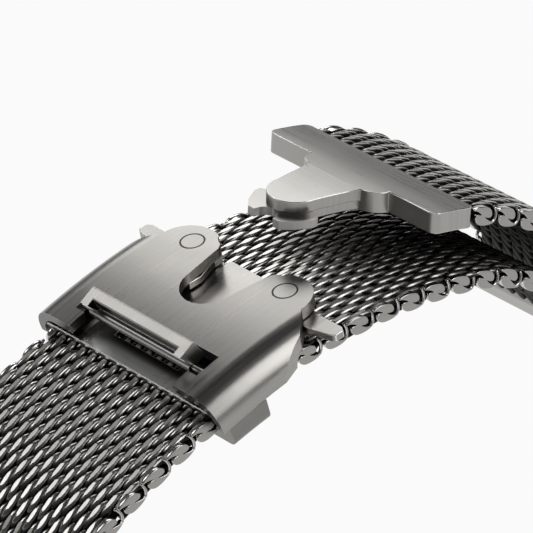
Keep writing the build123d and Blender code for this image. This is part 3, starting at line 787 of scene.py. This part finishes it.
def edge_link():
    """One link of the mesh's edge: a ground S shaped face, and the wire behind the next one."""
    half = [Vector(corner) for corner in EDGE_HALF]
    outline = smooth_outline([*half, *[-corner for corner in half]], OUTLINE_STEPS)
    shift = Vector((EDGE_LINK_SHIFT * MM, 0, 0))
    work = bmesh.new()
    face = work.faces.new([
        work.verts.new(Vector((point.x * MM, 0, point.y * MM)) + shift) for point in outline])
    rim = list(face.edges)
    made = bmesh.ops.extrude_face_region(work, geom=[face])
    moved = [item for item in made["geom"] if isinstance(item, bmesh.types.BMVert)]
    bmesh.ops.translate(work, verts=moved, vec=(0, EDGE_DEPTH * MM, 0))
    bmesh.ops.bevel(work, geom=rim, offset=EDGE_RIM * MM, segments=2, profile=0.5,
                    affect="EDGES")
    path = [Vector(point) * MM + shift for point in HOOK_PATH]
    add_tube(work, path, [radius * MM for radius in HOOK_RADII], HOOK_SIDES)
    bmesh.ops.recalc_face_normals(work, faces=work.faces)
    mesh = bpy.data.meshes.new("edge link")
    work.to_mesh(mesh)
    work.free()
    return bpy.data.objects.new("edge link", mesh)


def new_tree(name, inputs):
    """A Geometry Nodes tree, as the start of an expression and its inputs by their names."""
    tree = bpy.data.node_groups.new(name, "GeometryNodeTree")
    sockets = tree.interface
    for kind, names in {"Geometry": ("Geometry",), **inputs}.items():
        for label in names:
            sockets.new_socket(label, in_out="INPUT", socket_type="NodeSocket" + kind)
    sockets.new_socket("Geometry", in_out="OUTPUT", socket_type="NodeSocketGeometry")
    start = Shade(tree)
    given = start.node("NodeGroupInput").socket.node.outputs
    return start, {socket.name: Shade(tree, socket) for socket in given}


def realised(shape):
    """Instances made real."""
    return shape.node("GeometryNodeRealizeInstances", values={"Geometry": shape})


def in_material(shape, material):
    """Geometry in a material."""
    return shape.node("GeometryNodeSetMaterial", values={
        "Geometry": shape, "Material": material})


def smoothed(shape):
    """Geometry shaded smooth."""
    return shape.node("GeometryNodeSetShadeSmooth", values={"Geometry": shape})


def weave_tree():
    """Wire coils across the band and the links of its edges, on points along the strap."""
    start, given = new_tree("Coil weave", {
        "Float": ("Wire Radius", "Strand Pitch", "Half Length", "Half Height", "Ground Height",
                  "Strand Slope", "Strand Hold", "Half Width"),
        "Int": ("Turns", "Samples", "Sides"),
        "Object": ("Edge Link",),
        "Material": ("Wire", "Edge"),
    })

    def named(name, kind="FLOAT"):
        return start.node("GeometryNodeInputNamedAttribute", {"data_type": kind}, {"Name": name})

    def stored(geometry, name, value, kind="FLOAT"):
        return start.node("GeometryNodeStoreNamedAttribute",
                          {"data_type": kind, "domain": "POINT"},
                          {"Geometry": geometry, "Name": name, "Value": value})

    # One coil: a point for each sample, wound about the band's width.
    pitch = given["Strand Pitch"]
    angle = start.node("GeometryNodeInputIndex") / given["Samples"] * (2 * pi)
    along = angle.math("COSINE") * given["Half Length"]
    height = angle.math("SINE") * given["Half Height"]
    advance = angle + (angle * 2).math("SINE") * given["Strand Hold"] / 2
    sideways = advance * pitch / (2 * pi) + along * given["Strand Slope"]
    sideways = sideways - given["Turns"] * pitch / 2
    line = start.node("GeometryNodeMeshLine", values={
        "Count": given["Turns"] * given["Samples"] + 1})
    place = start.node("ShaderNodeCombineXYZ", values={0: along, 1: sideways, 2: height})
    coil = start.node("GeometryNodeSetPosition", values={"Geometry": line, "Position": place})

    # A coil on each inner point, cut off at the edge links.
    position = start.node("GeometryNodeInputPosition")
    points = stored(given["Geometry"], "anchor", position, "FLOAT_VECTOR")
    points = start.node("GeometryNodeMeshToPoints", values={"Mesh": points})
    turned = start.node("FunctionNodeEulerToRotation", values={
        0: start.node("ShaderNodeCombineXYZ", values={1: named("turn"), 2: named("flip")})})
    is_edge = abs(named("side")).math("GREATER_THAN", 0.5)
    coils = realised(start.node("GeometryNodeInstanceOnPoints", values={
        "Points": points, "Selection": 1 - is_edge, "Instance": coil, "Rotation": turned}))
    outside = abs(position.part(1)).math("GREATER_THAN", given["Half Width"])
    coils = start.node("GeometryNodeDeleteGeometry", values={
        "Geometry": coils, "Selection": outside})

    # Wire along the coils, ground flat where it stands higher than the ground face.
    section = start.node("GeometryNodeCurvePrimitiveCircle", values={
        "Resolution": given["Sides"], "Radius": given["Wire Radius"]})
    wires = start.node("GeometryNodeCurveToMesh", values={
        "Curve": start.node("GeometryNodeMeshToCurve", values={"Mesh": coils}),
        "Profile Curve": section, "Fill Caps": True})
    outward = named("outward", "FLOAT_VECTOR")
    from_middle = position.vector("SUBTRACT", named("anchor", "FLOAT_VECTOR"))
    lift = from_middle.vector("DOT_PRODUCT", outward, output="Value")
    wires = stored(wires, "lift", lift)
    kept = named("lift")
    limit = given["Ground Height"]
    ground = kept.math("MAXIMUM", limit * -1).math("MINIMUM", limit)
    wires = start.node("GeometryNodeSetPosition", values={
        "Geometry": wires, "Offset": outward.scaled(ground - kept)})
    wires = in_material(wires, given["Wire"])

    # A link on each edge point.
    link = start.node("GeometryNodeObjectInfo", {"transform_space": "ORIGINAL"},
                      {"Object": given["Edge Link"]}, output="Geometry")
    links = realised(start.node("GeometryNodeInstanceOnPoints", values={
        "Points": points, "Selection": is_edge, "Instance": link, "Rotation": turned}))
    links = in_material(links, given["Edge"])
    whole = start.node("GeometryNodeJoinGeometry")
    for shape in (links, wires):
        start.tree.links.new(shape.socket, whole.socket.node.inputs[0])
    start.node("NodeGroupOutput", values={"Geometry": realised(smoothed(whole))})
    return start.tree


def spring_tree():
    """A round wire wound as a helix, standing along its axis."""
    start, given = new_tree("Wound spring", {
        "Float": ("Length", "Radius", "Wire Radius", "Turns"),
        "Material": ("Material",),
    })
    spiral = start.node("GeometryNodeCurveSpiral", values={
        "Resolution": 12, "Rotations": given["Turns"], "Start Radius": given["Radius"],
        "End Radius": given["Radius"], "Height": given["Length"]})
    section = start.node("GeometryNodeCurvePrimitiveCircle", values={
        "Resolution": 6, "Radius": given["Wire Radius"]})
    wound = start.node("GeometryNodeCurveToMesh", values={
        "Curve": spiral, "Profile Curve": section, "Fill Caps": True})
    foot = start.node("GeometryNodeMeshToPoints", values={"Mesh": given["Geometry"]})
    shown = realised(start.node("GeometryNodeInstanceOnPoints", values={
        "Points": foot, "Instance": wound}))
    shown = in_material(smoothed(shown), given["Material"])
    start.node("NodeGroupOutput", values={"Geometry": shown})
    return start.tree


def add_tree(piece, tree, values):
    """A Geometry Nodes modifier with its inputs set by their identifiers."""
    modifier = piece.modifiers.new(tree.name, "NODES")
    modifier.node_group = tree
    for item in tree.interface.items_tree:
        if item.in_out == "INPUT" and item.name in values:
            modifier[item.identifier] = values[item.name]


def linked(name, mesh):
    """A new object in the scene."""
    piece = bpy.data.objects.new(name, mesh)
    bpy.context.scene.collection.objects.link(piece)
    return piece


def apply_modifiers(piece, name):
    """Turns a piece's evaluated shape into its plain mesh."""
    bpy.context.view_layer.update()
    depsgraph = bpy.context.evaluated_depsgraph_get()
    mesh = bpy.data.meshes.new_from_object(piece.evaluated_get(depsgraph), depsgraph=depsgraph)
    mesh.name = name
    old = piece.data
    piece.modifiers.clear()
    piece.data = mesh
    bpy.data.meshes.remove(old)


def stand_for(piece, node, bends=False):
    """Lets a finished piece stand for its CAD node, on the node's body unless it bends."""
    if not bends:
        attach(piece, frame["nodes"][node]["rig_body"])
    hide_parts(node)


def upright(edge):
    """Whether an edge stands up from the band."""
    way = edge.verts[1].co - edge.verts[0].co
    return abs(way.z) > UPRIGHT_SHARE * way.length and way.length > UPRIGHT_LENGTH * MM


def on_flank(edge):
    """Whether an edge bounds the outer flank of the clasp's base."""
    return min(abs(vertex.co.y) for vertex in edge.verts) > BASE_FLANK * MM


def round_corners(work, chosen):
    """Rounds the chosen corners, before the finer easing of all edges."""
    edges = [edge for edge in work.edges
             if len(edge.link_faces) == 2 and edge.calc_face_angle(0) > CORNER_ANGLE
             and chosen(edge)]
    bmesh.ops.bevel(work, geom=edges, offset=CORNER_RADIUS * MM, segments=CORNER_STEPS,
                    profile=0.5, affect="EDGES", clamp_overlap=True)


def draw_in(piece, corners, faces):
    """Brings points that the easing threw off back onto the solid's surface."""
    solid = BVHTree.FromPolygons(corners, faces)
    for vertex in piece.data.vertices:
        place, normal, _, distance = solid.find_nearest(vertex.co)
        if distance > STRAY * MM and (vertex.co - place).dot(normal) > 0:
            vertex.co = place


def finished(node, material, edge=EDGE_EASING, corners=None, bends=False):
    """A smooth copy of a CAD node with its edges eased, and its chosen corners rounded first."""
    source = frame["nodes"][node].data
    places = [vertex.co for vertex in source.vertices]
    faces = [tuple(face.vertices) for face in source.polygons]
    mesh = plain_mesh(node + " finished", places, faces)
    work = bmesh.new()
    work.from_mesh(mesh)
    bmesh.ops.remove_doubles(work, verts=work.verts, dist=SAME_POINT * MM)
    bmesh.ops.dissolve_limit(work, angle_limit=FLAT_ANGLE, verts=work.verts, edges=work.edges)
    if corners:
        round_corners(work, corners)
    for face in work.faces:
        face.smooth = True
    work.to_mesh(mesh)
    work.free()
    mesh.set_sharp_from_angle(angle=SHARP_ANGLE)
    mesh.materials.append(material)
    # The second material paints a highlight on the eased edges, where the bevel below puts it.
    mesh.materials.append(bpy.data.materials.get(PAINTED_HIGHLIGHT) or painted_highlight_material())
    piece = linked(node + "_finished", mesh)
    if edge:
        bevel = piece.modifiers.new("Eased edges", "BEVEL")
        bevel.width = edge * MM
        bevel.segments = 2
        bevel.limit_method = "ANGLE"
        bevel.angle_limit = SHARP_ANGLE
        bevel.use_clamp_overlap = not corners
        bevel.harden_normals = True
        bevel.material = 1
    smooth = piece.modifiers.new("Even shading", "WEIGHTED_NORMAL")
    smooth.keep_sharp = True
    if corners:
        apply_modifiers(piece, node + " finished")
        draw_in(piece, places, faces)
    stand_for(piece, node, bends)
    return piece


def add_floor(looks):
    """The floor, just under the band."""
    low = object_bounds()[0]
    level = low[2] - FLOOR_GAP
    signs = ((-1, -1), (1, -1), (1, 1), (-1, 1))
    corners = [(x * FLOOR_REACH, y * FLOOR_REACH, level) for x, y in signs]
    mesh = plain_mesh("floor", corners, [(0, 1, 2, 3)])
    mesh.materials.append(floor_material(looks))
    linked("floor", mesh)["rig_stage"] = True


def add_room(looks):
    """The room: dim above, pale at the horizon and below it."""
    world = bpy.data.worlds.new("studio")
    world.use_nodes = True
    world.node_tree.nodes.clear()
    start = Shade(world.node_tree)
    height = start.node("ShaderNodeTexCoord", output="Generated").part(2)
    low = 1 - height.ramp(*HORIZON_BAND)
    strength = looks.shade + low * (HORIZON_BRIGHTNESS - looks.shade)
    room = start.node("ShaderNodeBackground", values={"Strength": strength})
    start.node("ShaderNodeOutputWorld", values={"Surface": room})
    bpy.context.scene.world = world


def add_softbox(name, direction, size, brightness):
    """A rectangular lamp that looks at the clasp."""
    lamp = bpy.data.lights.new(name, "AREA")
    lamp.shape = "RECTANGLE"
    lamp.size, lamp.size_y = size
    lamp.energy = brightness * pi * size[0] * size[1]
    holder = linked(name, lamp)
    way = Vector(direction).normalized()
    holder.location = Vector(CLASP_PLACE) * MM + way * SOFTBOX_DISTANCE
    holder.rotation_euler = way.to_track_quat("Z", "Y").to_euler()


def add_camera():
    """The photograph's camera."""
    camera = bpy.data.cameras.new("photograph camera")
    camera.sensor_width = SENSOR
    camera.lens = SENSOR * CAMERA_FOCAL / IMAGE_SIZE
    camera.shift_x = (IMAGE_SIZE / 2 - CLASP_PIXEL[0]) / IMAGE_SIZE
    camera.shift_y = (CLASP_PIXEL[1] - IMAGE_SIZE / 2) / IMAGE_SIZE
    camera.clip_start = 0.01
    camera.clip_end = 50.0
    holder = linked("camera", camera)
    eye = (Vector(CLASP_PLACE) - Vector(CAMERA_AHEAD) * CAMERA_DISTANCE) * MM
    turn = Matrix((CAMERA_RIGHT, CAMERA_UP, -Vector(CAMERA_AHEAD))).transposed()
    holder.matrix_world = Matrix.Translation(eye) @ turn.to_4x4()
    bpy.context.scene.camera = holder


class BAND_OT_weave(bpy.types.Operator):
    """Weaves the mesh of both straps from wire coils, with the links of its edges"""

    bl_idname = "band.weave"
    bl_label = "Woven mesh"

    def execute(self, context):
        sizes = context.scene.band_mesh
        looks = context.scene.band_finish
        names = {"long": "ground mesh wire", "short": "ground wire of the short strap"}
        wires = {strap: wire_material(name, looks, sizes, DARK_HEIGHT[strap])
                 for strap, name in names.items()}
        edge = edge_material(looks)
        tree = weave_tree()
        link = edge_link()
        pitch = sizes.strand_pitch / MM
        for node, (joints, first, direction) in strap_walks().items():
            piece = linked(node + "_weave", strap_points(node, joints, first, direction, pitch))
            add_tree(piece, tree, {
                "Wire Radius": sizes.wire_radius, "Strand Pitch": sizes.strand_pitch,
                "Half Length": sizes.half_length, "Half Height": sizes.half_height,
                "Ground Height": sizes.ground_height, "Strand Slope": sizes.strand_slope,
                "Strand Hold": sizes.hold, "Half Width": sizes.half_width,
                "Turns": COIL_TURNS, "Samples": sizes.samples, "Sides": sizes.sides,
                "Edge Link": link, "Wire": wires[node.split("_")[0]], "Edge": edge})
            apply_modifiers(piece, node + " weave")
            if len(piece.data.polygons) < FEWEST_FACES:
                raise RuntimeError(f"{node}: the weave is empty")
            for label in ("anchor", "turn", "flip", "side"):
                found = piece.data.attributes.get(label)
                if found:
                    piece.data.attributes.remove(found)
            stand_for(piece, node)
        bpy.data.objects.remove(link)
        return {"FINISHED"}


class BAND_OT_clasp(bpy.types.Operator):
    """Finishes the clasp: cover, base, pins, pushers with their leaf springs, and the lever"""

    bl_idname = "band.clasp"
    bl_label = "Clasp"

    def execute(self, context):
        looks = context.scene.band_finish
        # Painted shade on the cover, base, lever and pin heads; painted light on the back of the
        # base's recess floor.
        cover = clasp_material("brushed cover", looks, cover_shadow)
        base = clasp_material("brushed base", looks, base_shadow, painted_light_on_recess_floor)
        lever = clasp_material("brushed lever", looks, lever_shadow)
        pusher = clasp_material("brushed clasp", looks)
        head = clasp_material("brushed pin heads", looks, painted_groove_shade)
        pin = turned_material("turned pins", looks.pin)
        spring = turned_material("drawn springs", looks.spring)
        finished("clasp_cover", cover)
        finished("clasp_base", base, corners=on_flank)
        finished("lock_lever", lever, edge=0.07)
        finished("lever_pin", pin, edge=0.04)
        for side in ("left", "right"):
            finished(side + "_pusher", pusher)
            finished(side + "_pivot_pin", head, edge=0)
            leaf = finished(side + "_pusher_spring", spring, edge=0, bends=True)
            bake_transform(leaf)
        return {"FINISHED"}


class BAND_OT_tongue(bpy.types.Operator):
    """Finishes the tongue piece, its catch plate and rivets"""

    bl_idname = "band.tongue"
    bl_label = "Tongue piece"

    def execute(self, context):
        looks = context.scene.band_finish
        satin = satin_material("brushed tongue", looks.tongue)
        pin = turned_material("turned rivets", looks.pin)
        finished("tongue_plate", satin, corners=upright)
        finished("catch_plate", satin, edge=0.06)
        finished("catch_rivets", pin, edge=0.03)
        return {"FINISHED"}


class BAND_OT_ends(bpy.types.Operator):
    """Finishes the end barrels, the tail's cap and the spring bars"""

    bl_idname = "band.ends"
    bl_label = "Ends and spring bars"

    def execute(self, context):
        looks = context.scene.band_finish
        satin = satin_material("brushed ends", looks.clasp)
        polished = satin_material("polished barrels", looks.barrel, POLISHED_ROUGHNESS)
        pin = turned_material("turned spring bars", looks.pin)
        spring = turned_material("wound springs", looks.spring)
        finished("long_end_barrel", polished)
        finished("short_end_barrel", polished)
        finished("long_tail_cap", satin)
        tree = spring_tree()
        for bar in ("long_bar", "short_bar"):
            finished(bar + "_tube", pin, edge=0.03)
            finished(bar + "_left_plunger", pin, edge=0.04)
            finished(bar + "_right_plunger", pin, edge=0.04)
            self.wind_spring(bar, tree, spring)
        return {"FINISHED"}

    def wind_spring(self, bar, tree, material):
        """Winds a bar's spring inside the box of its CAD node."""
        low, high = (Vector(corner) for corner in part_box(bar + "_spring"))
        middle = (low + high) / 2
        wire = SPRING_WIRE * MM
        length = high.y - low.y - 2 * wire
        piece = linked(bar + "_wound_spring", plain_mesh(bar + " spring", [(0, 0, 0)]))
        add_tree(piece, tree, {
            "Length": length, "Radius": (high.x - low.x) / 2 - wire, "Wire Radius": wire,
            "Turns": length / (SPRING_PITCH * MM), "Material": material})
        apply_modifiers(piece, bar + " wound spring")
        foot = Matrix.Translation((middle.x, low.y + wire, middle.z))
        piece.data.transform(foot @ Matrix.Rotation(-pi / 2, 4, "X"))
        stand_for(piece, bar + "_spring")


class BAND_OT_stage(bpy.types.Operator):
    """Sets the floor, the room, the softboxes and the camera"""

    bl_idname = "band.stage"
    bl_label = "Stage"

    def execute(self, context):
        looks = context.scene.band_stage
        add_floor(looks)
        add_room(looks)
        for name, (setting, direction, size) in SOFTBOXES.items():
            add_softbox(name, direction, size, getattr(looks, setting))
        add_camera()
        context.scene.view_settings.view_transform = "Standard"
        return {"FINISHED"}


OPERATORS = (BAND_OT_weave, BAND_OT_clasp, BAND_OT_tongue, BAND_OT_ends, BAND_OT_stage)
GROUPS = {"band_mesh": MeshSizes, "band_finish": FinishLooks, "band_stage": StageLooks}


class BAND_PT_panel(bpy.types.Panel):
    """Lists the band's sizes, colours and pieces"""

    bl_idname = "BAND_PT_panel"
    bl_label = "Mesh band"
    bl_space_type = "VIEW_3D"
    bl_region_type = "UI"
    bl_category = "Mesh band"

    def draw(self, context):
        for group in GROUPS:
            settings = getattr(context.scene, group)
            for name in settings.__annotations__:
                self.layout.prop(settings, name)
        for operator in OPERATORS:
            self.layout.operator(operator.bl_idname)


def register():
    """Registers the settings, the operators and the panel."""
    for name, group in GROUPS.items():
        bpy.utils.register_class(group)
        setattr(bpy.types.Scene, name, PointerProperty(type=group))
    for operator in OPERATORS:
        bpy.utils.register_class(operator)
    bpy.utils.register_class(BAND_PT_panel)


def unregister():
    """Takes away what register added."""
    bpy.utils.unregister_class(BAND_PT_panel)
    for operator in reversed(OPERATORS):
        bpy.utils.unregister_class(operator)
    for name, group in GROUPS.items():
        delattr(bpy.types.Scene, name)
        bpy.utils.unregister_class(group)


def main():
    """Builds every piece and the stage."""
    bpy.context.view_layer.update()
    register()
    bpy.ops.band.weave()
    bpy.ops.band.clasp()
    bpy.ops.band.tongue()
    bpy.ops.band.ends()
    bpy.ops.band.stage()


if __name__ == "__main__":
    main()
